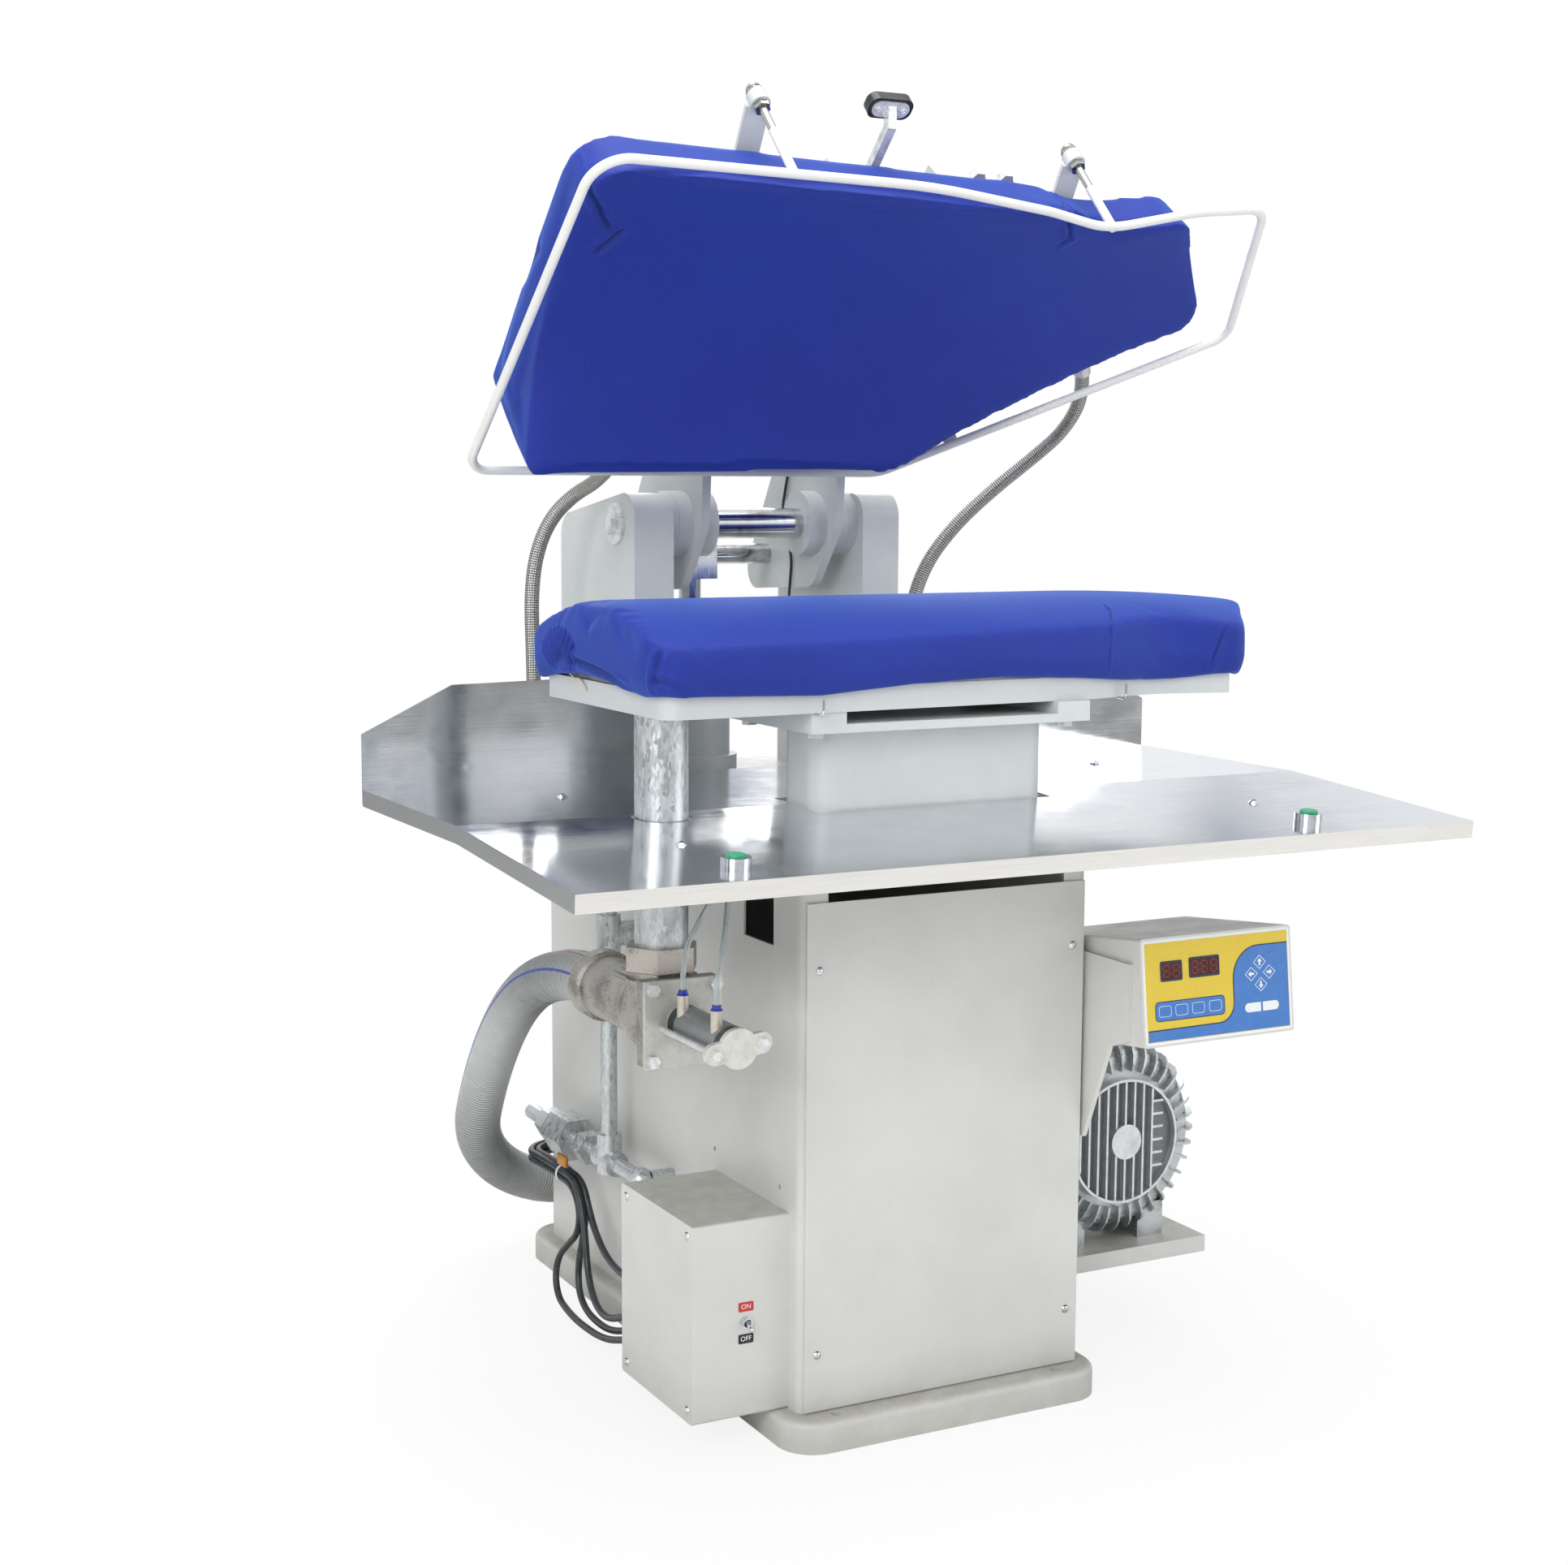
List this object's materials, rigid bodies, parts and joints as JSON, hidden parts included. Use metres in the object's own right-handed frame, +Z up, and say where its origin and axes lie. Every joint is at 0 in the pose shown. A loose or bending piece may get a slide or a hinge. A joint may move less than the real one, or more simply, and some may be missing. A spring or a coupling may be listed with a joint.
{
  "type": "steam body press",
  "caption": "Laundry steam press on a column: a padded buck on a pedestal table, a padded head that swings down over it, hand guard, suction valve, hose and blower.",
  "frame": {"origin": "middle of the base's underside, on the floor", "axes": "+X to the operator's right, +Y to the rear, +Z up"},
  "size_m": [1.14, 1.1544, 1.5575],
  "materials": {
    "grey_paint": "satin pale grey enamel",
    "cylinder_paint": "satin grey enamel",
    "stainless": "bright rolled stainless sheet",
    "chrome": "polished",
    "zinc_steel": "zinc plated",
    "white_paint": "gloss white powder coat",
    "cast_iron": "zinc plated casting",
    "aluminium": "die cast",
    "blue_cover": "stretch cover cloth",
    "black_rubber": "matt",
    "braided_hose": "braided",
    "grey_hose": "ribbed, with coloured stripes",
    "clear_tube": "semi-clear",
    "green_plastic": "moulded",
    "overlay": "printed film"
  },
  "bodies": {
    "frame": {"base_plate": "grey_paint", "column_shell": "grey_paint", "front_panel": "grey_paint", "table_frame": "grey_paint", "pedestal": "grey_paint", "saddle_plate": "grey_paint", "buck_tray": "grey_paint", "cheek_left": "grey_paint", "cheek_right": "grey_paint", "switch_box": "grey_paint", "switch_cover": "grey_paint", "control_box": "grey_paint", "control_bracket": "grey_paint", "blower_shelf": "grey_paint", "press_cylinder": "cylinder_paint", "blower_motor": "cylinder_paint", "table_rear": "stainless", "table_front": "stainless", "backsplashes": "stainless", "button_bodies": "chrome", "main_shaft": "chrome", "switch_bush": "chrome", "dome_screws": "zinc_steel", "hex_bolts": "zinc_steel", "cover_hooks": "zinc_steel", "hose_elbows": "zinc_steel", "suction_pipe": "zinc_steel", "steam_pipework": "zinc_steel", "air_fittings": "zinc_steel", "valve_body": "cast_iron", "union_nut": "cast_iron", "buck_platen": "aluminium", "valve_actuator": "aluminium", "blower_housing": "aluminium", "blower_lid": "aluminium", "buck_pad": "blue_cover", "power_cables": "black_rubber", "steam_hose_left": "braided_hose", "steam_hose_right": "braided_hose", "suction_hose": "grey_hose", "air_tubes": "clear_tube", "control_face": "overlay"},
    "head": {"arm_left": "grey_paint", "arm_right": "grey_paint", "link_shaft": "chrome", "head_platen": "aluminium", "head_pad": "blue_cover", "guard_ring": "white_paint", "guard_posts": "white_paint", "guard_brackets": "zinc_steel", "handle_bar": "chrome", "handle_grip": "black_rubber", "head_studs": "zinc_steel", "hose_fittings": "zinc_steel"},
    "lift": {"lift_rod": "chrome"},
    "button_left": {"button_cap_left": "green_plastic"},
    "button_right": {"button_cap_right": "green_plastic"},
    "toggle": {"switch_lever": "chrome"},
    "impeller": {"blower_impeller": "aluminium"},
    "plug": {"valve_plug": "aluminium"}
  },
  "joints": [
    {"name": "head_swing", "type": "hinge", "parent": "frame", "child": "head", "pos_m": [0, 0.128, 1.051], "axis": [1, 0, 0], "range_deg": [0, 55.5], "deforming": ["steam_hose_left", "steam_hose_right"]},
    {"name": "lift_slide", "type": "slide", "parent": "frame", "child": "lift", "axis": [0, 0, 1], "range_m": [0, 0.1302]},
    {"name": "left_start", "type": "slide", "parent": "frame", "child": "button_left", "axis": [0, 0.0698, -0.9976], "range_m": [0, 0.004], "stiffness_N_per_m": 900},
    {"name": "right_start", "type": "slide", "parent": "frame", "child": "button_right", "axis": [0, 0.0698, -0.9976], "range_m": [0, 0.004], "stiffness_N_per_m": 900},
    {"name": "toggle_switch", "type": "hinge", "parent": "frame", "child": "toggle", "pos_m": [-0.25, -0.356, 0.151], "axis": [-1, 0, 0], "range_deg": [0, 28]},
    {"name": "impeller_spin", "type": "hinge", "parent": "frame", "child": "impeller", "pos_m": [0.349, -0.2, 0.262], "axis": [0, 1, 0], "continuous": true},
    {"name": "plug_stroke", "type": "slide", "parent": "frame", "child": "plug", "axis": [0, 1, 0], "range_m": [0, 0.025]}
  ],
  "couplings": [
    {"joint": "lift_slide", "follows": "head_swing", "m_per_rad": 0.13417}
  ]
}
